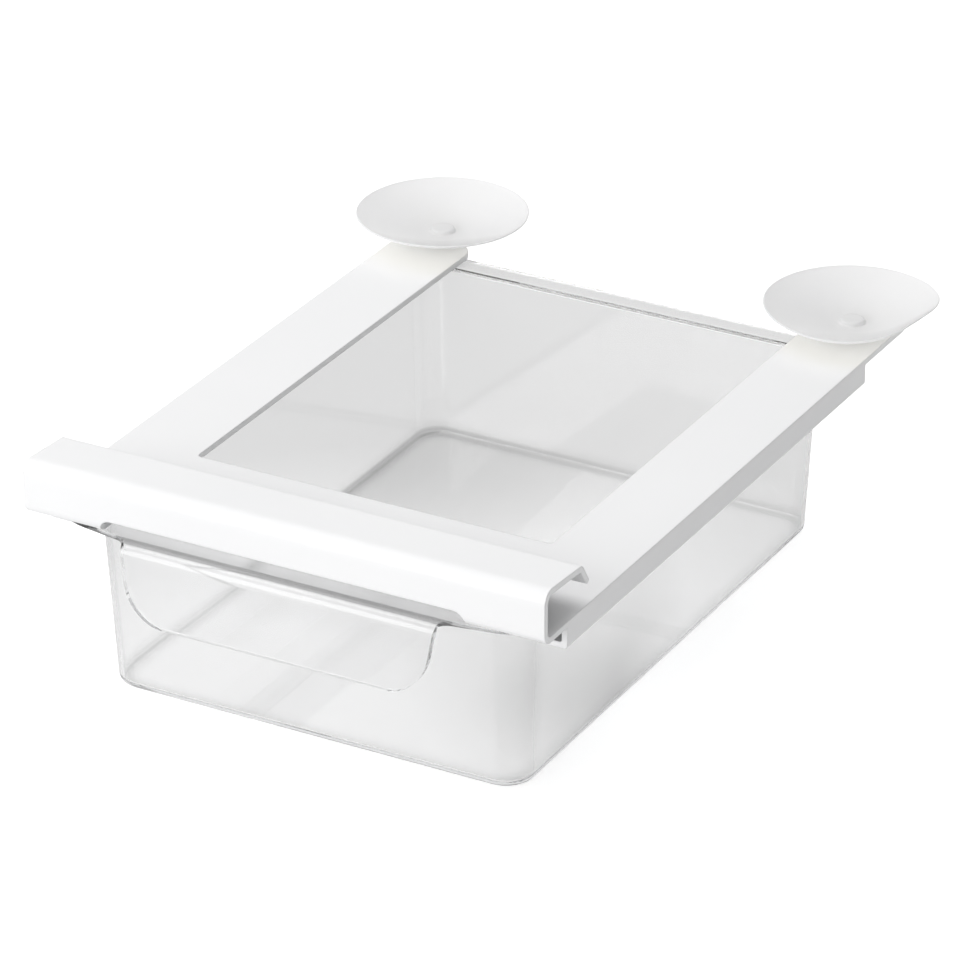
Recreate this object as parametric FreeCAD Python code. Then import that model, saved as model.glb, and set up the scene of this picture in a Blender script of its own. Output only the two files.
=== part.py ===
import FreeCAD
import Part
import math
import os

# Under-shelf fridge drawer, in mm.
# Front is -Y, up is +Z.  Heights are measured from the underside of the drawer.
# Depth stations are measured from the front face of the hook and are moved at the
# end so that the middle of the whole object's outline lies over the origin.

# ---------------------------------------------------------------- driving sizes
# frame
FRAME_W = 242.0          # width over both arms and the hook
SHEET_T = 2.6            # wall of the frame moulding
ARM_W = 37.0             # each side arm, seen from above
PANEL_DEPTH = 74.8       # cross panel, hook face to the start of the open middle
PANEL_CORNER_R = 2.0     # inner corners between panel and arms
HOOK_H = 21.4            # hook top above the panel top, carried to the hook face
HOOK_DROP = 1.9          # fall of the hook top towards its rear corner
HOOK_REACH = 31.3        # hook face to the hook's rear top corner
HOOK_HEEL_R = 5.0        # outer radius, hook face to panel underside
HOOK_BROW_R = 6.0        # outer radius, hook face to hook top
HOOK_LIP_R = 3.4         # outer radius, hook top to lip
HOOK_LIP_RUN = 5.8       # lip, rearward part of its slant
HOOK_LIP_FALL = 9.0      # lip, downward part of its slant
NOTCH_W = 169.6          # opening for the pull through the hook's foot
NOTCH_DEPTH = 11.0       # how far the notch runs into the panel
NOTCH_RISE = 3.4         # notch height above the panel's top face
NOTCH_R = 5.0            # upper corners of the notch
RAIL_H = 12.3            # rail depth, arm top to rail bottom
RAIL_FRONT = 19.0        # hook face to the front end of the rails
RAIL_SHORT = 5.0         # rails end this far before the tub's rear wall
RAIL_LIP_W = 14.0        # rail outer face to the lip's free edge
RAIL_R = 1.6             # outer lower corner of the rail
RAIL_ROOT_R = 1.0        # inner corner of the channel
ARM_END_GAP = 7.1        # drawer rim's rear edge to the arm's shoulder
ARM_END_R = 9.0          # inner rear corner of each arm
TAIL_L = 24.6            # tail behind the arm's shoulder
TAIL_W = 27.0            # tail width
TAIL_R = 9.0             # rear corners of the tail
TAIL_ROOT_R = 1.2        # corner between shoulder and tail

# drawer
DRAWER_H = 83.0          # underside to rim top
TUB_FRONT = 18.3         # hook face to the tub's front wall, at the top
TUB_L = 279.7            # tub length over its walls, at the top
TUB_TAPER = 3.5          # inward lean of every wall, top to bottom
TUB_WALL = 2.1           # side wall
TUB_FLOOR = 2.2          # floor
TUB_CORNER_R = 13.0      # upright corners, outside
TUB_BASE_R = 3.5         # bottom edge, outside
TUB_MOUTH_R = 2.0        # inner edge of the rim
RIM_T = 2.0              # rim thickness
RIM_BACK = 10.3          # rim behind the rear wall
RIM_SHOULDER = 1.4       # hook face to the rim's front edge, beside the pull
RIM_SWEEP = 7.5          # further setback of the front edge at the rim's corners
RIM_FRONT_R = 26.0       # front corners of the rim
RIM_BACK_R = 13.0        # rear corners of the rim
SKIRT_T = 2.0            # runner turned down along the rim's sides
PULL_W = 146.0           # pull, at the top
PULL_W_LOW = 136.0       # pull, sides carried down to its lower edge
PULL_H = 34.0            # rim top to the pull's lower edge
PULL_ROOT_R = 6.0        # sweep of the rim's edge into the pull
PULL_BEND_R = 6.0        # outer radius of the bend
PULL_OUT = 3.6           # pull face in front of the hook face, at the bend
PULL_LEAN = 2.9          # further forward at the lower edge
PULL_T = 3.6             # pull thickness at the bend
PULL_T_LOW = 2.4         # pull thickness at the lower edge
PULL_CORNER_R = 21.0     # lower corners of the pull

# suction cups
CUP_INSET = 18.5         # cup centre from the frame's side
CUP_SET = 2.7            # cup centre behind the arm's shoulder
CUP_R = 39.2             # rim radius
CUP_H = 13.2             # rim above the arm
CUP_RIM_T = 1.2          # thickness at the rim
CUP_BOSS_R = 8.0         # foot of the cup on the arm
CUP_FLOOR_T = 3.4        # thickness over the foot
CUP_NUB_R = 5.6          # raised disc in the middle
CUP_NUB_H = 5.2          # top of the disc above the arm
CUP_NECK_R = 4.0         # neck through the tail
CUP_HEAD_R = 6.8         # retaining head under the tail
CUP_HEAD_T = 2.4         # head thickness
CUP_HEAD_R_EDGE = 1.2    # rounding of the head

# clearances
RUN_GAP_TOP = 0.4        # rim top to the underside of the arms
RUN_GAP_LOW = 0.3        # skirt to the rail's lip
RUN_GAP_SIDE = 0.6       # skirt to the rail's wall
TUB_GAP = 5.8            # rail lip to the tub's side
NECK_GAP = 0.3           # cup neck to its hole, all round

# ---------------------------------------------------------------- derived sizes
half_frame = FRAME_W / 2
half_notch = NOTCH_W / 2
arm_inner = half_frame - ARM_W
plate_low = DRAWER_H + RUN_GAP_TOP
plate_top = plate_low + SHEET_T
rail_low = plate_top - RAIL_H
lip_top = rail_low + SHEET_T
lip_edge = half_frame - RAIL_LIP_W
rim_low = DRAWER_H - RIM_T
half_rim = half_frame - SHEET_T - RUN_GAP_SIDE
half_tub = lip_edge - TUB_GAP
tub_back = TUB_FRONT + TUB_L
rim_back = tub_back + RIM_BACK
rim_corner_y = RIM_SHOULDER + RIM_SWEEP
skirt_low = lip_top + RUN_GAP_LOW
shoulder_y = rim_back + ARM_END_GAP
tail_y = shoulder_y + TAIL_L
tail_inner = half_frame - TAIL_W
rail_back = tub_back - RAIL_SHORT
hook_top = plate_top + HOOK_H
join_y = NOTCH_DEPTH + SHEET_T
cup_x = half_frame - CUP_INSET
cup_y = shoulder_y + CUP_SET
pull_low = DRAWER_H - PULL_H
pull_face_low = -PULL_OUT - PULL_LEAN
front_y = pull_face_low
back_y = cup_y + CUP_R
middle_y = (front_y + back_y) / 2
wide = FRAME_W + CUP_R   # longer than any width or depth cut
long = tail_y + FRAME_W  # longer than the whole object
above = SHEET_T          # how far a cutting shape stands past a face
TIP_SHARE = 0.45         # rounding of a free edge, as a share of its thickness


# ---------------------------------------------------------------- shape helpers
def vec(x, y, z):
    return FreeCAD.Vector(x, y, z)


def rounded_face(points, radii):
    """Flat face with one radius for each corner; 0 keeps the corner sharp."""
    count = len(points)
    arrive = []
    middle = []
    leave = []
    for i in range(count):
        here = points[i]
        radius = radii[i]
        back = points[i - 1].sub(here).normalize()
        ahead = points[(i + 1) % count].sub(here).normalize()
        half_angle = back.getAngle(ahead) / 2
        reach = radius / math.tan(half_angle)
        depth = radius / math.sin(half_angle) - radius
        towards = back.add(ahead).normalize()
        arrive.append(here.add(back.multiply(reach)))
        leave.append(here.add(ahead.multiply(reach)))
        middle.append(here.add(towards.multiply(depth)))
    edges = []
    for i in range(count):
        if radii[i] > 0:
            edges.append(Part.Arc(arrive[i], middle[i], leave[i]).toShape())
        edges.append(Part.makeLine(leave[i], arrive[(i + 1) % count]))
    return Part.Face(Part.Wire(edges))


def plan_prism(corners, low, high):
    """Upright prism from (x, y, radius) corners."""
    points = [vec(x, y, low) for x, y, r in corners]
    face = rounded_face(points, [r for x, y, r in corners])
    return face.extrude(vec(0, 0, high - low))


def side_prism(corners, half_width):
    """Prism across the object from (y, z, radius) corners."""
    points = [vec(-half_width, y, z) for y, z, r in corners]
    face = rounded_face(points, [r for y, z, r in corners])
    return face.extrude(vec(2 * half_width, 0, 0))


def front_prism(corners, start, end):
    """Prism from front to back from (x, z, radius) corners."""
    points = [vec(x, start, z) for x, z, r in corners]
    face = rounded_face(points, [r for x, z, r in corners])
    return face.extrude(vec(0, end - start, 0))


def both_sides(corners):
    """Right-hand corners and their mirror images, as one closed outline."""
    return corners + [(-x, other, r) for x, other, r in reversed(corners)]


def offset_path(path, distance):
    """Open (y, z) path moved sideways to its left by one distance."""
    moved = []
    lines = []
    for (y0, z0), (y1, z1) in zip(path, path[1:]):
        length = math.hypot(y1 - y0, z1 - z0)
        uy = (y1 - y0) / length
        uz = (z1 - z0) / length
        lines.append((y0 - uz * distance, z0 + uy * distance, uy, uz))
    first = lines[0]
    moved.append((first[0], first[1]))
    for (ay, az, auy, auz), (by, bz, buy, buz) in zip(lines, lines[1:]):
        cross = auy * buz - auz * buy
        along = ((by - ay) * buz - (bz - az) * buy) / cross
        moved.append((ay + auy * along, az + auz * along))
    (y0, z0), (y1, z1) = path[-2], path[-1]
    last = lines[-1]
    length = math.hypot(y1 - y0, z1 - z0)
    moved.append((last[0] + last[2] * length, last[1] + last[3] * length))
    return moved


def fuse_all(shapes):
    joined = shapes[0].fuse(shapes[1:])
    return joined.removeSplitter()


def single_solid(shape):
    return shape.Solids[0]


# ---------------------------------------------------------------- frame
def make_hook():
    """Panel front, hook face, hook top and lip as one bent sheet across the width."""
    outer = [
        (join_y, plate_low),
        (0, plate_low),
        (0, hook_top),
        (HOOK_REACH, hook_top - HOOK_DROP),
        (HOOK_REACH + HOOK_LIP_RUN, hook_top - HOOK_DROP - HOOK_LIP_FALL),
    ]
    outer_r = [0, HOOK_HEEL_R, HOOK_BROW_R, HOOK_LIP_R, SHEET_T * TIP_SHARE]
    inner = offset_path(outer, -SHEET_T)
    inner_r = [0, HOOK_HEEL_R - SHEET_T, HOOK_BROW_R - SHEET_T, HOOK_LIP_R - SHEET_T,
               SHEET_T * TIP_SHARE]
    corners = [(y, z, r) for (y, z), r in zip(outer, outer_r)]
    corners += [(y, z, r) for (y, z), r in zip(reversed(inner), reversed(inner_r))]
    return side_prism(corners, half_frame)


def make_plate():
    """Cross panel, two arms and their tails, open in the middle and at the back."""
    right = [
        (half_frame, join_y, 0),
        (half_frame, tail_y, TAIL_R),
        (tail_inner, tail_y, TAIL_R),
        (tail_inner, shoulder_y, TAIL_ROOT_R),
        (arm_inner, shoulder_y, ARM_END_R),
        (arm_inner, PANEL_DEPTH, PANEL_CORNER_R),
    ]
    return plan_prism(both_sides(right), plate_low, plate_top)


def make_rail(side):
    """Outer wall and inward lip under one arm."""
    tip_r = SHEET_T * TIP_SHARE
    corners = [
        (side * half_frame, plate_top, 0),
        (side * half_frame, rail_low, RAIL_R),
        (side * lip_edge, rail_low, tip_r),
        (side * lip_edge, lip_top, tip_r),
        (side * (half_frame - SHEET_T), lip_top, RAIL_ROOT_R),
        (side * (half_frame - SHEET_T), plate_top, 0),
    ]
    return front_prism(corners, RAIL_FRONT, rail_back)


def make_notch():
    """Space for the pull: through the hook's foot and the panel's front edge."""
    right = [
        (half_notch, plate_low - above, 0),
        (half_notch, plate_top + NOTCH_RISE, NOTCH_R),
    ]
    return front_prism(both_sides(right), -above, NOTCH_DEPTH)


def make_frame():
    body = fuse_all([make_hook(), make_plate(), make_rail(1), make_rail(-1)])
    body = body.cut(make_notch())
    for side in (1, -1):
        start = vec(side * cup_x, cup_y, plate_low - above)
        length = SHEET_T + 2 * above
        body = body.cut(Part.makeCylinder(CUP_NECK_R + NECK_GAP, length, start))
    return single_solid(body.removeSplitter())


# ---------------------------------------------------------------- drawer
def tapered_block(inset, low, high, corner_r, base_r):
    """Leaning-walled block; inset moves its walls in from the tub's outside."""
    rings = []
    for z in (low, high):
        lean = TUB_TAPER * (DRAWER_H - z) / DRAWER_H
        x = half_tub - lean - inset
        y0 = TUB_FRONT + lean + inset
        y1 = tub_back - lean - inset
        rings.append([vec(-x, y0, z), vec(x, y0, z), vec(x, y1, z), vec(-x, y1, z)])
    base, top = rings
    faces = []
    for ring in (base[::-1], top):
        faces.append(Part.Face(Part.makePolygon(ring + [ring[0]])))
    for i in range(4):
        j = (i + 1) % 4
        loop = [base[i], base[j], top[j], top[i], base[i]]
        faces.append(Part.Face(Part.makePolygon(loop)))
    block = Part.makeSolid(Part.makeShell(faces))
    rise = (high - low) / 2
    upright = [e for e in block.Edges if e.BoundBox.ZLength > rise]
    block = block.makeFillet(corner_r, upright)
    flat = [e for e in block.Edges if e.BoundBox.ZMax < low + rise and e.BoundBox.ZLength < rise]
    return block.makeFillet(base_r, flat)


def make_rim_outline():
    """Rim seen from above, with the way out for the pull at the front."""
    slope = RIM_SWEEP / (half_rim - PULL_W / 2)
    right = [
        (PULL_W / 2, pull_face_low - above, 0),
        (PULL_W / 2, RIM_SHOULDER, PULL_ROOT_R),
        (half_rim, RIM_SHOULDER + slope * (half_rim - PULL_W / 2), RIM_FRONT_R),
        (half_rim, rim_back, RIM_BACK_R),
    ]
    return plan_prism(both_sides(right), 0, DRAWER_H)


def make_rim_sheet():
    """Rim and pull from the side: flat, then bent down and leaning forward."""
    tip_r = PULL_T_LOW * TIP_SHARE
    corners = [
        (long, rim_low, 0),
        (long, DRAWER_H, 0),
        (-PULL_OUT, DRAWER_H, PULL_BEND_R),
        (pull_face_low, pull_low, tip_r),
        (pull_face_low + PULL_T_LOW, pull_low, tip_r),
        (-PULL_OUT + PULL_T, rim_low, PULL_BEND_R - PULL_T),
    ]
    return side_prism(corners, wide)


def make_rim_front():
    """Rim and pull from the front: full width above, rounded pull below."""
    right = [
        (PULL_W_LOW / 2, pull_low, PULL_CORNER_R),
        (PULL_W / 2, rim_low, RIM_T),
        (wide, rim_low, 0),
        (wide, DRAWER_H, 0),
    ]
    return front_prism(both_sides(right), pull_face_low - above, long)


def make_drawer():
    sheet = make_rim_sheet().common(make_rim_outline()).common(make_rim_front())
    tub = tapered_block(0, 0, DRAWER_H, TUB_CORNER_R, TUB_BASE_R)
    pieces = [tub, sheet]
    skirt_front = rim_corner_y + RIM_FRONT_R
    skirt_l = rim_back - RIM_BACK_R - skirt_front
    for x in (-half_rim, half_rim - SKIRT_T):
        corner = vec(x, skirt_front, skirt_low)
        pieces.append(Part.makeBox(SKIRT_T, skirt_l, rim_low - skirt_low + RIM_T / 2, corner))
    body = fuse_all(pieces)
    room = tapered_block(TUB_WALL, TUB_FLOOR, DRAWER_H + above,
                         TUB_CORNER_R - TUB_WALL, TUB_BASE_R - TUB_WALL)
    body = single_solid(body.cut(room).removeSplitter())
    mouth = []
    for e in body.Edges:
        box = e.BoundBox
        level = box.ZMin > DRAWER_H - above / 100 and box.ZMax < DRAWER_H + above / 100
        inside = box.XMax < half_tub and box.XMin > -half_tub
        inside = inside and box.YMin > TUB_FRONT and box.YMax < tub_back
        if level and inside:
            mouth.append(e)
    return single_solid(body.makeFillet(TUB_MOUTH_R, mouth))


# ---------------------------------------------------------------- suction cups
def make_cup(side):
    """Shallow silicone cup: flared skirt, raised disc, neck and retaining head."""
    head_low = plate_low - CUP_HEAD_T
    rim_z = plate_top + CUP_H
    dish_z = plate_top + CUP_FLOOR_T
    nub_z = plate_top + CUP_NUB_H
    corners = [
        (0, head_low, 0),
        (CUP_HEAD_R, head_low, CUP_HEAD_R_EDGE),
        (CUP_HEAD_R, plate_low, 0),
        (CUP_NECK_R, plate_low, 0),
        (CUP_NECK_R, plate_top, 0),
        (CUP_BOSS_R, plate_top, 0),
        (CUP_BOSS_R + CUP_NECK_R, plate_top + CUP_RIM_T, CUP_BOSS_R),
        (CUP_R, rim_z - CUP_RIM_T, 0),
        (CUP_R, rim_z, CUP_RIM_T * TIP_SHARE),
        (CUP_BOSS_R + CUP_NECK_R, dish_z, CUP_BOSS_R),
        (CUP_NUB_R, dish_z, 0),
        (CUP_NUB_R, nub_z, CUP_RIM_T * TIP_SHARE),
        (0, nub_z, 0),
    ]
    points = [vec(r, 0, z) for r, z, c in corners]
    face = rounded_face(points, [c for r, z, c in corners])
    cup = face.revolve(vec(0, 0, 0), vec(0, 0, 1), 360)
    cup.translate(vec(side * cup_x, cup_y, 0))
    return single_solid(cup)


# ---------------------------------------------------------------- export
def main():
    os.makedirs("parts", exist_ok=True)
    nodes = {
        "hanger_frame": make_frame(),
        "drawer": make_drawer(),
        "suction_cup_right": make_cup(1),
        "suction_cup_left": make_cup(-1),
    }
    for name, shape in nodes.items():
        shape.translate(vec(0, -middle_y, 0))
        shape.exportStep("parts/" + name + ".step")
        box = shape.BoundBox
        print(name, shape.isValid(), round(shape.Volume / 1000, 2), box)


main()
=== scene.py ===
import math
import bpy
from mathutils import Matrix, Vector


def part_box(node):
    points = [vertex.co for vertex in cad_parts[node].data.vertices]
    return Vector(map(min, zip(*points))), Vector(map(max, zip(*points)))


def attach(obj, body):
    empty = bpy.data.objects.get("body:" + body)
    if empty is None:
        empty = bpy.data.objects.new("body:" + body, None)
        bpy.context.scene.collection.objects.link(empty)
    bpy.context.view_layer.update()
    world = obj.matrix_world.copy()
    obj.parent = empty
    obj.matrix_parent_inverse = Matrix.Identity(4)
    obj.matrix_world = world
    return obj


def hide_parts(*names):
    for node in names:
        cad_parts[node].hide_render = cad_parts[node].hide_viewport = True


# Looks of the fridge drawer organizer.
# Lengths are metres in the shared frame: front is -Y, up is +Z, and the drawer stands on
# z = 0.  The suction cups' own measures are in mm.  Colours are linear.

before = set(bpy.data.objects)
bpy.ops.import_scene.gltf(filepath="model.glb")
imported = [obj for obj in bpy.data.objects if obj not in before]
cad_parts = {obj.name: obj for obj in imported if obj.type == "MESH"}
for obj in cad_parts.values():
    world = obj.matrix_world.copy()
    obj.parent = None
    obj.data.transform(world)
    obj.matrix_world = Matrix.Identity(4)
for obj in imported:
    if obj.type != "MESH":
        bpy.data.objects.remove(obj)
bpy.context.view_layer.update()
scene = bpy.context.scene
MM = 0.001

# ---------------------------------------------------------------- camera
# Fitted to the straight edges of the photographed object.
CAMERA_TURN = (28.954, 26.652, -0.207)    # azimuth, elevation and roll in degrees
CAMERA_AIM = Vector((0, -0.0254, 0.086))
CAMERA_RIGHT = 0.00827                    # from the aim, along the picture's own axes
CAMERA_DOWN = 0.02168
CAMERA_BACK = 2.32193
CAMERA_LENS = 206.58
CAMERA_SENSOR = 36
CAMERA_CLIP = (0.1, 50)


def make_camera():
    azimuth, elevation, roll = (math.radians(angle) for angle in CAMERA_TURN)
    back = Vector((math.sin(azimuth) * math.cos(elevation),
                   -math.cos(azimuth) * math.cos(elevation),
                   math.sin(elevation)))
    level = Vector((math.cos(azimuth), math.sin(azimuth), 0))
    upright = back.cross(level)
    right = level * math.cos(roll) + upright * math.sin(roll)
    up = upright * math.cos(roll) - level * math.sin(roll)
    place = CAMERA_AIM + right * CAMERA_RIGHT - up * CAMERA_DOWN + back * CAMERA_BACK
    data = bpy.data.cameras.new("camera")
    data.sensor_width = CAMERA_SENSOR
    data.lens = CAMERA_LENS
    data.clip_start, data.clip_end = CAMERA_CLIP
    camera = bpy.data.objects.new("camera", data)
    scene.collection.objects.link(camera)
    camera.matrix_world = Matrix((
        (right.x, up.x, back.x, place.x),
        (right.y, up.y, back.y, place.y),
        (right.z, up.z, back.z, place.z),
        (0, 0, 0, 1)))
    scene.camera = camera


# ---------------------------------------------------------------- node trees
NOISE_LOW, NOISE_HIGH = 0.3, 0.7    # range that a noise texture mostly fills
RAMP_LOW, RAMP_HIGH = 0.35, 0.65    # stops of a noise's colour ramp


class Tree:
    """Builds the node tree of a material or of the world."""

    def __init__(self, owner, output="ShaderNodeOutputMaterial"):
        self.owner = owner
        owner.use_nodes = True
        self.nodes = owner.node_tree.nodes
        self.links = owner.node_tree.links
        self.nodes.clear()
        self.output = self.add(output)

    def add(self, kind, **values):
        node = self.nodes.new(kind)
        for key, value in values.items():
            setattr(node, key, value)
        return node

    def feed(self, source, target):
        """Gives an input what a socket carries, or a number, vector or colour."""
        if isinstance(source, bpy.types.NodeSocket):
            self.links.new(source, target)
        elif target.type == "RGBA":
            target.default_value = (*source, 1)
        else:
            target.default_value = source

    def math(self, operation, *sources):
        node = self.add("ShaderNodeMath", operation=operation)
        for source, target in zip(sources, node.inputs):
            self.feed(source, target)
        return node.outputs[0]

    def product(self, factors):
        value = factors[0]
        for factor in factors[1:]:
            value = self.math("MULTIPLY", value, factor)
        return value

    def most(self, values):
        value = values[0]
        for other in values[1:]:
            value = self.math("MAXIMUM", value, other)
        return value

    def spread(self, source, low, high, from_low=NOISE_LOW, from_high=NOISE_HIGH):
        """Carries a range over to low...high, and holds the ends outside it."""
        ramp = self.add("ShaderNodeMapRange")
        ramp.inputs["From Min"].default_value = from_low
        ramp.inputs["From Max"].default_value = from_high
        ramp.inputs["To Min"].default_value = low
        ramp.inputs["To Max"].default_value = high
        self.feed(source, ramp.inputs["Value"])
        return ramp.outputs["Result"]

    def rise(self, source, first, last):
        """0 up to the first value, 1 from the last."""
        return self.spread(source, 0, 1, first, last)

    def fall(self, source, first, last):
        """1 up to the first value, 0 from the last."""
        return self.spread(source, 1, 0, first, last)

    def where(self, mask, factor):
        """The factor where the mask is 1, and 1 where it is 0."""
        return self.spread(mask, 1, factor, 0, 1)

    def place(self):
        return self.add("ShaderNodeTexCoord").outputs["Object"]

    def parts(self, vector):
        """The three numbers of a vector."""
        split = self.add("ShaderNodeSeparateXYZ")
        self.feed(vector, split.inputs[0])
        return split.outputs

    def distance(self, centre):
        away = self.add("ShaderNodeVectorMath", operation="DISTANCE")
        self.feed(self.place(), away.inputs[0])
        self.feed(centre, away.inputs[1])
        return away.outputs["Value"]

    def patch(self, centre, reach, factor):
        """A soft round patch: the factor at its centre, 1 beyond its reach."""
        return self.spread(self.distance(centre), factor, 1, 0, reach)

    def noise(self, scale, detail):
        noise = self.add("ShaderNodeTexNoise")
        noise.inputs["Scale"].default_value = scale
        noise.inputs["Detail"].default_value = detail
        self.feed(self.place(), noise.inputs["Vector"])
        return noise.outputs["Fac"]

    def ramp(self, source, first, second, stops=(RAMP_LOW, RAMP_HIGH)):
        """Colours from the first to the second stop."""
        ramp = self.add("ShaderNodeValToRGB")
        for element, stop, colour in zip(ramp.color_ramp.elements, stops, (first, second)):
            element.position = stop
            element.color = (*colour, 1)
        self.feed(source, ramp.inputs["Fac"])
        return ramp.outputs["Color"]

    def scaled(self, colour, factor):
        scale = self.add("ShaderNodeVectorMath", operation="SCALE")
        self.feed(colour, scale.inputs[0])
        self.feed(factor, scale.inputs["Scale"])
        return scale.outputs[0]

    def openness(self, reach, samples):
        """1 where a surface lies open, towards 0 where its own piece closes over it."""
        hollow = self.add("ShaderNodeAmbientOcclusion", samples=samples, only_local=True)
        hollow.inputs["Distance"].default_value = reach
        return hollow.outputs["AO"]

    def bevel(self, radius, samples):
        """Normals softened over the edges."""
        bevel = self.add("ShaderNodeBevel", samples=samples)
        bevel.inputs["Radius"].default_value = radius
        return bevel.outputs["Normal"]

    def bump(self, source, strength, distance, normal=None):
        bump = self.add("ShaderNodeBump")
        bump.inputs["Strength"].default_value = strength
        bump.inputs["Distance"].default_value = distance
        self.feed(source, bump.inputs["Height"])
        if normal:
            self.feed(normal, bump.inputs["Normal"])
        return bump.outputs["Normal"]

    def facing(self, blend):
        """0 where the surface faces the eye, 1 at grazing angles."""
        weight = self.add("ShaderNodeLayerWeight")
        weight.inputs["Blend"].default_value = blend
        return weight.outputs["Facing"]

    def shader(self, kind, **inputs):
        """A shader node, with its inputs by name (an underscore stands for a space)."""
        node = self.add(kind)
        for name, source in inputs.items():
            self.feed(source, node.inputs[name.replace("_", " ")])
        return node.outputs[0]

    def mix(self, share, first, second):
        """Two shaders, the second one by its share."""
        mix = self.add("ShaderNodeMixShader")
        self.feed(share, mix.inputs["Fac"])
        self.feed(first, mix.inputs[1])
        self.feed(second, mix.inputs[2])
        return mix.outputs[0]

    def finish(self, surface):
        self.feed(surface, self.output.inputs["Surface"])
        return self.owner


def new_material(name):
    return Tree(bpy.data.materials.new(name))


def paint(obj, material):
    obj.data.materials.clear()
    obj.data.materials.append(material)


# ---------------------------------------------------------------- white moulding
WHITE_DARK = (0.862, 0.864, 0.87)
WHITE_LIGHT = (0.88, 0.881, 0.886)
WHITE_EDGE_R = 0.9 * MM             # softened edges
# Painted shade in hollows: how far the test looks, where the shade is full and ends, and its
# depth.
PAINTED_HOLLOW_SHADE_REACH = 30 * MM
PAINTED_HOLLOW_SHADE_OPENNESS = (0.1, 0.55)       # where the painted shade is full, and where it ends
PAINTED_HOLLOW_SHADE = 0.55


def white_plastic():
    """Satin white, fine grained, with painted shade in hollows such as the hook's inside."""
    t = new_material("white_plastic")
    # Painted shade: the base colour darkens where the piece closes over a surface.
    openness = t.openness(PAINTED_HOLLOW_SHADE_REACH, samples=8)
    tone = t.ramp(t.noise(scale=9, detail=2), WHITE_DARK, WHITE_LIGHT)
    edges = t.bevel(WHITE_EDGE_R, samples=6)
    grain = t.noise(scale=900, detail=2)
    return t.finish(t.shader(
        "ShaderNodeBsdfPrincipled",
        Base_Color=t.scaled(tone, t.spread(openness, PAINTED_HOLLOW_SHADE, 1, *PAINTED_HOLLOW_SHADE_OPENNESS)),
        Roughness=t.spread(t.noise(scale=55, detail=4), low=0.28, high=0.36),
        Specular_IOR_Level=0.4,
        Normal=t.bump(grain, strength=0.06, distance=0.2 * MM, normal=edges)))


# ---------------------------------------------------------------- clear moulding
drawer_low, drawer_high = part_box("drawer")
CLEAR_TINT = (0.975, 0.975, 0.976)  # straight on
CLEAR_GRAZING = (0.87, 0.872, 0.875)
CLEAR_SHADOW = (0.9, 0.905, 0.91)   # light that passes each skin into the shadow
CLEAR_BOUNCES = 5.5                 # rays that bounced more often pass straight on
CLEAR_STRAIGHT = (0.97, 0.972, 0.974)

# Painted light and shade on the clear tint: its depth changes softly from place to place, as
# the photograph shows it, and stands in for shade and reflections.  Each painted shade or
# light is a factor on the tint.  A pair is where a change begins and where it ends: places
# along one axis, shares of openness, or how far a face is turned sideways (0 to 1).

# Painted shade in the inside angle between floor and walls.
ROOT_REACH = 9 * MM
ROOT_OPENNESS = (0.5, 0.9)
ROOT_TOP = (8 * MM, 20 * MM)
ROOT_PAINTED_SHADE = 0.5

# The pull, and the bend where the rim turns down into it: a painted dark line along the bend,
# painted light on the pull and painted shade on its side edges.
BEND_Y = drawer_low.y + 7.9 * MM
BEND_HALF = 0.8 * MM
BEND_PAINTED_SHADE = 0.4
PULL_Y = (drawer_low.y + 3.8 * MM, drawer_low.y + 5.3 * MM)
PULL_PAINTED_LIGHT = 1.025
PULL_SIDES = (0.5, 0.8)
PULL_SIDES_PAINTED_SHADE = 0.4

# Side walls, their lower edges and the rear rim: painted light on the walls, painted shade
# along their lower edges and on the rear rim.
WALL_SIDES = (0.9, 0.97)
WALL_LEFT_X = (-20 * MM, 20 * MM)
WALL_REAR_Y = (drawer_low.y + 91.8 * MM, drawer_low.y + 151.8 * MM)
WALL_PAINTED_LIGHT = 1.025
EDGE_SIDES = (0.25, 0.5)
EDGE_Z = (1.4 * MM, 2.4 * MM)
EDGE_PAINTED_SHADE = 0.6
REAR_RIM_Y = (drawer_high.y - 9.4 * MM, drawer_high.y - 6.4 * MM)
REAR_RIM_PAINTED_SHADE = 0.95

# Front wall and its right corner, with painted shade.
FRONT_NEAR_Y = (drawer_low.y + 9.8 * MM, drawer_low.y + 16.8 * MM)
FRONT_FAR_Y = (drawer_low.y + 36.8 * MM, drawer_low.y + 46.8 * MM)
FRONT_HIGH_Z = (0, 60 * MM)
FRONT_LOW_SHARE = 0.4               # of the high part's tone, down at the floor
FRONT_RIGHT_X = (0, 50 * MM)
FRONT_HIGH_PAINTED_SHADE = 0.94
FRONT_CORNER_X = (drawer_high.x - 32.3 * MM, drawer_high.x - 29.3 * MM)
FRONT_CORNER_PAINTED_SHADE = 0.965

# Round patches of painted shade.  The first one lies on the floor and fades between the
# heights FLOOR_TOP.
FLOOR_LEFT = (drawer_low.x + 17.8 * MM, drawer_high.y - 62.9 * MM, 0)
FLOOR_LEFT_REACH, FLOOR_LEFT_PAINTED_SHADE = 150 * MM, 0.7
FLOOR_TOP = (2.5 * MM, 5 * MM)
CORNER_RIGHT = (drawer_high.x - 15.8 * MM, drawer_low.y + 43.8 * MM, 50 * MM)
CORNER_RIGHT_REACH, CORNER_RIGHT_PAINTED_SHADE = 60 * MM, 0.83
FOOT_RIGHT = (drawer_high.x - 17.8 * MM, drawer_low.y + 111.8 * MM, 12 * MM)
FOOT_RIGHT_REACH, FOOT_RIGHT_PAINTED_SHADE = 65 * MM, 0.74


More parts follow.
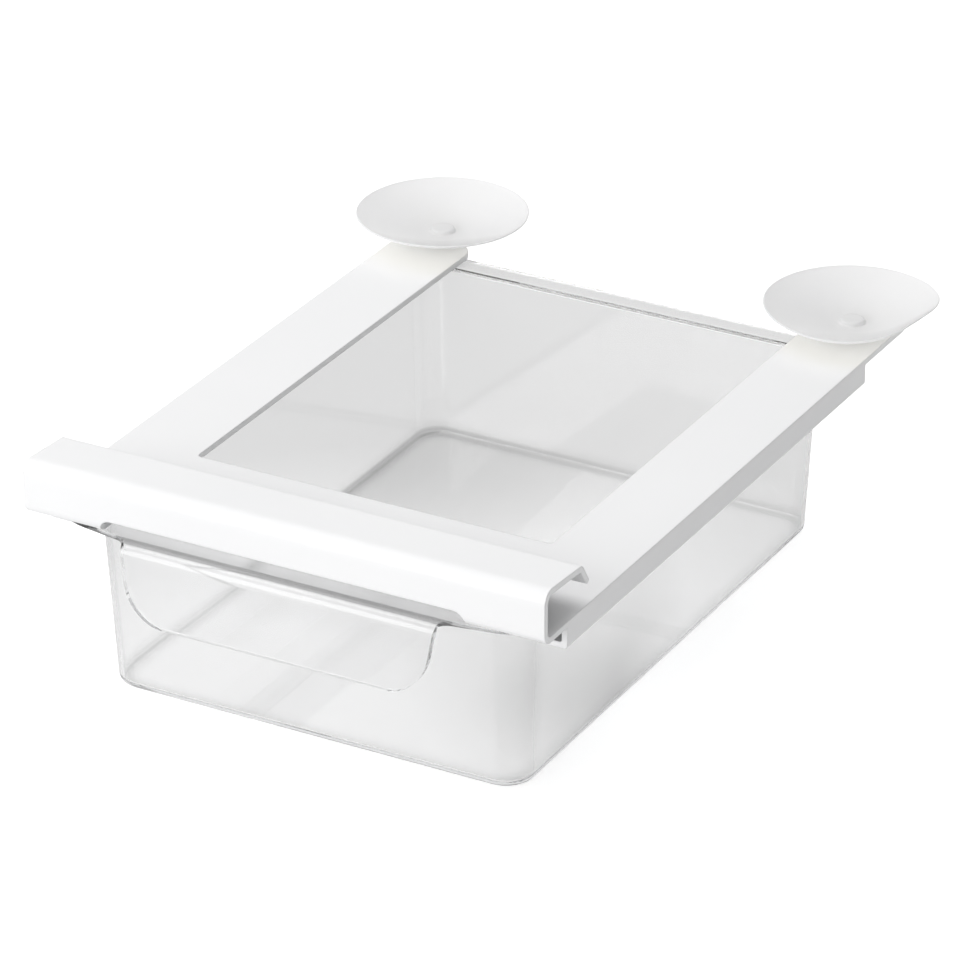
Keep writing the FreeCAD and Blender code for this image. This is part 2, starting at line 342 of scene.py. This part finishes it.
def floor_painted_shade(t, z, face):
    """Painted shade in the angle round the floor and on the floor's rear left."""
    angle = t.spread(t.openness(ROOT_REACH, samples=6), ROOT_PAINTED_SHADE, 1, *ROOT_OPENNESS)
    inside = face.outputs["Backfacing"]     # rays within the plastic see no angle
    left = t.patch(FLOOR_LEFT, FLOOR_LEFT_REACH, FLOOR_LEFT_PAINTED_SHADE)
    return t.product([t.most([angle, inside, t.rise(z, *ROOT_TOP)]),
                      t.most([left, t.rise(z, *FLOOR_TOP)])])


def pull_painted_light_and_shade(t, y, sideways):
    """Painted light on the pull, painted shade on its side edges and a painted dark line
    along the bend.
    """
    bend = t.math("COMPARE", y, BEND_Y, BEND_HALF)
    pull = t.fall(y, *PULL_Y)
    sides = t.product([t.rise(sideways, *PULL_SIDES), pull])
    return t.product([t.where(bend, BEND_PAINTED_SHADE),
                      t.where(sides, PULL_SIDES_PAINTED_SHADE),
                      t.where(pull, PULL_PAINTED_LIGHT)])


def wall_painted_light_and_shade(t, x, y, z, sideways):
    """Painted light on the side walls on the left and at the rear, painted shade at their
    foot and on the rear rim.
    """
    region = t.most([t.fall(x, *WALL_LEFT_X), t.rise(y, *WALL_REAR_Y)])
    wall = t.product([t.rise(sideways, *WALL_SIDES), region])
    edge = t.product([t.rise(sideways, *EDGE_SIDES), t.fall(z, *EDGE_Z)])
    return t.product([t.where(wall, WALL_PAINTED_LIGHT),
                      t.where(edge, EDGE_PAINTED_SHADE),
                      t.where(t.rise(y, *REAR_RIM_Y), REAR_RIM_PAINTED_SHADE),
                      t.patch(FOOT_RIGHT, FOOT_RIGHT_REACH, FOOT_RIGHT_PAINTED_SHADE)])


def front_painted_shade(t, x, y, z):
    """Painted shade on the front wall, towards its upper right and in the right corner."""
    front = t.product([t.rise(y, *FRONT_NEAR_Y), t.fall(y, *FRONT_FAR_Y)])
    height = t.spread(z, FRONT_LOW_SHARE, 1, *FRONT_HIGH_Z)
    high = t.product([front, height, t.rise(x, *FRONT_RIGHT_X)])
    corner = t.product([front, t.rise(x, *FRONT_CORNER_X)])
    return t.product([t.where(high, FRONT_HIGH_PAINTED_SHADE),
                      t.where(corner, FRONT_CORNER_PAINTED_SHADE),
                      t.patch(CORNER_RIGHT, CORNER_RIGHT_REACH, CORNER_RIGHT_PAINTED_SHADE)])


def drawer_painted_light_and_shade(t):
    """All painted light and shade on the clear tint at a place."""
    x, y, z = t.parts(t.place())
    face = t.add("ShaderNodeNewGeometry")
    sideways = t.math("ABSOLUTE", t.parts(face.outputs["True Normal"])["X"])
    return t.product([floor_painted_shade(t, z, face),
                      pull_painted_light_and_shade(t, y, sideways),
                      wall_painted_light_and_shade(t, x, y, z, sideways),
                      front_painted_shade(t, x, y, z)])


def clear_plastic():
    """Polished and slightly wavy, with a deeper tint at grazing angles."""
    t = new_material("clear_plastic")
    tint = t.ramp(t.facing(blend=0.35), CLEAR_TINT, CLEAR_GRAZING, stops=(0, 1))
    waves = t.noise(scale=22, detail=2)
    body = t.shader(
        "ShaderNodeBsdfPrincipled",
        # The base colour carries painted light and shade at places on the drawer.
        Base_Color=t.scaled(tint, drawer_painted_light_and_shade(t)),
        Transmission_Weight=0.97,
        IOR=1.46,
        Roughness=t.spread(t.noise(scale=40, detail=3), low=0.01, high=0.028),
        Normal=t.bump(waves, strength=0.04, distance=0.6 * MM))
    path = t.add("ShaderNodeLightPath")
    trapped = t.math("GREATER_THAN", path.outputs["Ray Depth"], CLEAR_BOUNCES)
    straight = t.shader("ShaderNodeBsdfTransparent", Color=CLEAR_STRAIGHT)
    shadow = t.shader("ShaderNodeBsdfTransparent", Color=CLEAR_SHADOW)
    return t.finish(t.mix(path.outputs["Is Shadow Ray"],
                          t.mix(trapped, body, straight), shadow))


# ---------------------------------------------------------------- silicone
CUP_BELOW_ARM = 5 * MM
ARM_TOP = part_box("suction_cup_right")[0].z + CUP_BELOW_ARM
SILICONE_DARK = (0.885, 0.885, 0.888)
SILICONE_LIGHT = (0.9, 0.9, 0.903)
SILICONE_GRAZING = (0.8, 1)         # facing where the painted shade on the rim begins, and is full
SILICONE_RIM_PAINTED_SHADE = 0.55
SILICONE_GLOW = (0.93, 0.932, 0.95)
SILICONE_GLOW_SHARE = 0.35          # light that comes through from the far side
SILICONE_SHADOW = (0.86, 0.845, 0.76)
SILICONE_THINS = (ARM_TOP + 2.5 * MM, ARM_TOP + 11 * MM)    # from thick foot to thin rim
SILICONE_THICK_SHARE = 0.42         # light through the foot, against the rim's


def silicone():
    """Soft white, a little see-through, and more so towards the flare's thin rim."""
    t = new_material("silicone")
    tone = t.ramp(t.noise(scale=30, detail=2), SILICONE_DARK, SILICONE_LIGHT)
    # Painted shade where the surface turns away from the eye, as at the rim.
    grazing = t.spread(t.facing(blend=0.5), 1, SILICONE_RIM_PAINTED_SHADE, *SILICONE_GRAZING)
    grain = t.noise(scale=400, detail=2)
    skin = t.shader(
        "ShaderNodeBsdfPrincipled",
        Base_Color=t.scaled(tone, grazing),
        Roughness=t.spread(t.noise(scale=70, detail=3), low=0.38, high=0.48),
        Specular_IOR_Level=0.35,
        Sheen_Weight=0.08,
        Sheen_Roughness=0.5,
        Normal=t.bump(grain, strength=0.05, distance=0.2 * MM))
    glow = t.shader("ShaderNodeBsdfTranslucent", Color=SILICONE_GLOW)
    height = t.parts(t.place())["Z"]
    thinning = t.spread(height, SILICONE_THICK_SHARE, 1, *SILICONE_THINS)
    shadow = t.shader("ShaderNodeBsdfTransparent", Color=t.scaled(SILICONE_SHADOW, thinning))
    path = t.add("ShaderNodeLightPath")
    return t.finish(t.mix(path.outputs["Is Shadow Ray"],
                          t.mix(SILICONE_GLOW_SHARE, skin, glow), shadow))


# ---------------------------------------------------------------- suction cups
CUP_STEPS = 160             # round a cup
CURVE_STEPS = 5             # between two points of the flare
FOOT_R = 8                  # mm; the foot stays stiff
FLARE_W = 31.2              # mm, from the foot to the rim
WARP = 0.14                 # mm; a relaxed rim isn't quite level

# The right cup's rim, in degrees round the cup and mm: pressed in and a little up on its
# outer side, and drooping in front.
FOLD_TURN = -8
FOLD_WIDTH = 32
FOLD_SHARPNESS = 2.3
FOLD_IN = 5.2
FOLD_UP = 0.9
DROOP_TURN = -80
DROOP_WIDTH = 36
DROOP = 1.3

# Half section as (radius, height over the arm) in mm.
CUP_BELOW = [(0, -5.0), (5.6, -5.0), (6.5, -4.7), (6.8, -4.0), (6.75, -2.8), (6.4, -2.65),
             (4.05, -2.62), (3.95, -1.3), (4.05, 0.1), (7.2, 0.12), (8.0, 0.3)]
CUP_FLARE = [(8.0, 0.3), (10.5, 1.35), (17, 3.9), (25, 6.9), (33, 9.8), (38, 11.75),
             (39.0, 12.35), (39.19, 12.8), (38.95, 13.12), (38.5, 13.1), (36.5, 12.15),
             (30, 9.65), (22, 6.9), (14, 4.55), (9.5, 3.6), (6.6, 3.4)]
CUP_DISC = [(6.0, 3.42), (5.6, 3.65), (5.45, 4.3), (5.3, 4.85), (4.9, 5.12), (4.2, 5.2),
            (2.6, 5.12), (1.2, 5.05), (0, 5.03)]


def smooth_line(points, steps):
    """Points of a Catmull-Rom curve through the given points."""
    line = []
    last = len(points) - 1
    for i in range(last):
        around = (points[max(i - 1, 0)], points[i], points[i + 1], points[min(i + 2, last)])
        for k in range(steps):
            t = k / steps
            line.append(tuple(
                0.5 * (2 * q + (r - p) * t + (2 * p - 5 * q + 4 * r - s) * t * t
                       + (3 * q - p - 3 * r + s) * t ** 3)
                for p, q, r, s in zip(*around)))
    line.append(points[last])
    return line


def degrees_from(turn, place):
    """How far a turn in radians lies from a place in degrees, from -180 to 180."""
    return (math.degrees(turn) - place + 180) % 360 - 180


def rim_shift(side, turn, radius):
    """How far a point of the flare lies out and up from the turned shape, in mm."""
    reach = min(max((radius - FOOT_R) / FLARE_W, 0), 1)
    out = 0.0
    lift = WARP * math.sin(2 * turn + side) * reach ** 3
    if side > 0:
        fold = math.exp(-abs(degrees_from(turn, FOLD_TURN) / FOLD_WIDTH) ** FOLD_SHARPNESS)
        fold *= reach ** 2
        droop = math.exp(-(degrees_from(turn, DROOP_TURN) / DROOP_WIDTH) ** 2) * reach ** 2
        lift += FOLD_UP * fold - DROOP * droop
        out -= FOLD_IN * fold
    return out, lift


def cup_mesh(name, side):
    """Half section turned round the cup's axis, in rings closed by a point at each end."""
    low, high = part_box(name)
    middle = (low + high) / 2
    profile = CUP_BELOW + smooth_line(CUP_FLARE, CURVE_STEPS)[1:] + CUP_DISC
    verts = []
    for radius, height in profile[1:-1]:
        for k in range(CUP_STEPS):
            turn = 2 * math.pi * k / CUP_STEPS
            out, lift = rim_shift(side, turn, radius)
            verts.append((middle.x + (radius + out) * math.cos(turn) * MM,
                          middle.y + (radius + out) * math.sin(turn) * MM,
                          ARM_TOP + (height + lift) * MM))
    faces = []
    rings = [range(start, start + CUP_STEPS) for start in range(0, len(verts), CUP_STEPS)]
    for ring, above in zip(rings, rings[1:]):
        for k in range(CUP_STEPS):
            n = (k + 1) % CUP_STEPS
            faces.append((ring[k], ring[n], above[n], above[k]))
    for ring, height, step in ((rings[0], profile[0][1], -1), (rings[-1], profile[-1][1], 1)):
        centre = len(verts)
        verts.append((middle.x, middle.y, ARM_TOP + height * MM))
        for k in range(CUP_STEPS):
            pair = (ring[k], ring[(k + 1) % CUP_STEPS])[::step]
            faces.append((*pair, centre))
    mesh = bpy.data.meshes.new(name + "_soft")
    mesh.from_pydata(verts, [], faces)
    mesh.shade_smooth()
    return mesh


def make_cup(name, side, material):
    """Soft cup in place of the CAD's; side is 1 on the right and -1 on the left."""
    cup = bpy.data.objects.new(name + "_soft", cup_mesh(name, side))
    scene.collection.objects.link(cup)
    paint(cup, material)
    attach(cup, "frame")
    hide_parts(name)


# ---------------------------------------------------------------- stage
# A pair of tones changes from the first to the second over its reach, a pair of distances.
WHITE = (1, 1, 1)
STAGE_HALF = 6.0
STAGE_DROP = 0.2 * MM
STAGE_CORNERS = [(-1, -1), (1, -1), (1, 1), (-1, 1)]
STAGE_COLOUR = (0.82, 0.82, 0.82)
STAGE_GLOW = (0.5, 1)               # lifts the floor to white for the camera
STAGE_GLOW_REACH = (0.8, 2.5)
GLASS_CENTRE = (0, -0.08, 0)        # the floor as the clear plastic shows it
GLASS_TONE = (0.98, 0.765)
GLASS_REACH = (0.1, 0.21)
GLASS_SHARE = 0.8                   # how much of that tone glass shows, and gloss
GLOSS_SHARE = 0.2

DOME_LIGHT = 0.46
GLOSS_LOW = (0.92, 0.92, 0.92)      # the world in gloss and glass, by height
GLOSS_HIGH = (0.08, 0.08, 0.08)
GLOSS_STOPS = (0.5, 0.85)


def floor_material():
    """White to the camera, and a shade greyer away from the object in glass."""
    t = new_material("floor")
    path = t.add("ShaderNodeLightPath")
    glow = t.spread(t.distance((0, 0, 0)), *STAGE_GLOW, *STAGE_GLOW_REACH)
    glow = t.product([path.outputs["Is Camera Ray"], glow])
    direct = t.add("ShaderNodeAddShader")
    t.feed(t.shader("ShaderNodeBsdfDiffuse", Color=STAGE_COLOUR), direct.inputs[0])
    t.feed(t.shader("ShaderNodeEmission", Color=WHITE, Strength=glow), direct.inputs[1])
    tone = t.spread(t.distance(GLASS_CENTRE), *GLASS_TONE, *GLASS_REACH)
    seen = t.shader("ShaderNodeEmission", Color=WHITE, Strength=tone)
    gloss = t.math("MULTIPLY", path.outputs["Is Glossy Ray"], GLOSS_SHARE)
    share = t.math("MULTIPLY_ADD", path.outputs["Is Transmission Ray"], GLASS_SHARE, gloss)
    return t.finish(t.mix(share, direct.outputs[0], seen))


def make_floor():
    verts = [(x * STAGE_HALF, y * STAGE_HALF, 0) for x, y in STAGE_CORNERS]
    mesh = bpy.data.meshes.new("floor")
    mesh.from_pydata(verts, [], [range(len(verts))])
    floor = bpy.data.objects.new("floor", mesh)
    floor.location.z = -STAGE_DROP
    scene.collection.objects.link(floor)
    paint(floor, floor_material())


def make_world():
    """White to the camera, a soft dome for light, pale low down and dark above in gloss."""
    t = Tree(bpy.data.worlds.new("world"), "ShaderNodeOutputWorld")
    height = t.parts(t.add("ShaderNodeTexCoord").outputs["Generated"])["Z"]
    sky = t.ramp(height, GLOSS_LOW, GLOSS_HIGH, stops=GLOSS_STOPS)
    dome = t.shader("ShaderNodeBackground", Color=WHITE, Strength=DOME_LIGHT)
    white = t.shader("ShaderNodeBackground", Color=WHITE, Strength=1)
    gloss = t.shader("ShaderNodeBackground", Color=sky, Strength=1)
    path = t.add("ShaderNodeLightPath")
    mirrored = t.most([path.outputs["Is Glossy Ray"], path.outputs["Is Transmission Ray"]])
    scene.world = t.finish(t.mix(path.outputs["Is Camera Ray"],
                                 t.mix(mirrored, dome, gloss), white))


# ---------------------------------------------------------------- lamps
LAMP_AIM = Vector((0, 0, 0.06))
# Name, place, size, power in watts, and whether gloss and glass show the lamp.
LAMPS = (("key", (-0.6, -2.1, 0.85), (2.0, 1.2), 26, True),
         ("top", (-0.5, 0.1, 1.9), (2.0, 2.0), 21.3, False))


def make_lamp(name, place, size, power, mirrored):
    """A rectangular soft box."""
    data = bpy.data.lights.new(name, "AREA")
    data.shape = "RECTANGLE"
    data.size, data.size_y = size
    data.energy = power
    lamp = bpy.data.objects.new(name, data)
    lamp.location = place
    lamp.rotation_mode = "QUATERNION"
    lamp.rotation_quaternion = (LAMP_AIM - Vector(place)).to_track_quat("-Z", "Y")
    lamp.visible_glossy = mirrored
    lamp.visible_transmission = mirrored
    scene.collection.objects.link(lamp)


# ---------------------------------------------------------------- build
scene.view_settings.view_transform = "Standard"
make_camera()
make_world()
make_floor()
for lamp in LAMPS:
    make_lamp(*lamp)

paint(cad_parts["hanger_frame"], white_plastic())
paint(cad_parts["drawer"], clear_plastic())
rubber = silicone()
make_cup("suction_cup_right", 1, rubber)
make_cup("suction_cup_left", -1, rubber)
